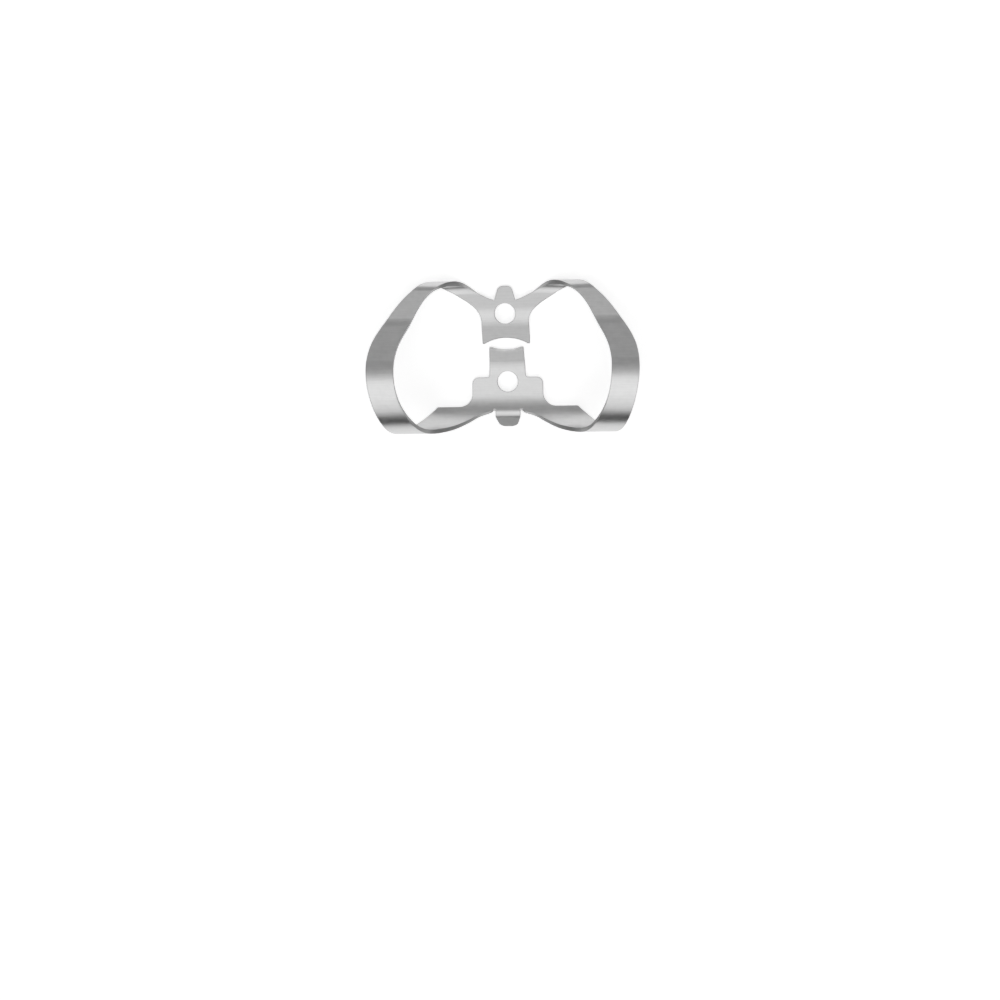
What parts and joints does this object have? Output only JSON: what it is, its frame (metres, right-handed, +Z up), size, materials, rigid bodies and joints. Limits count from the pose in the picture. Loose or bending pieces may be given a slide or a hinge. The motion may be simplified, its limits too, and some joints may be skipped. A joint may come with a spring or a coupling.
{
  "type": "rubber dam clamp",
  "caption": "Butterfly rubber dam clamp of bent spring steel, with tall bows, facing jaws, forceps holes and tabs for the rubber sheet.",
  "frame": {"origin": "centre of the bounding box, on the surface the clamp lies on", "axes": "+X along the bends, from one bow to the other; +Y towards the fold behind jaw one; +Z up, towards the bows"},
  "size_m": [0.0324, 0.0184, 0.0102],
  "materials": {
    "steel": "satin"
  },
  "bodies": {
    "root": {"clamp": "steel"}
  },
  "joints": []
}
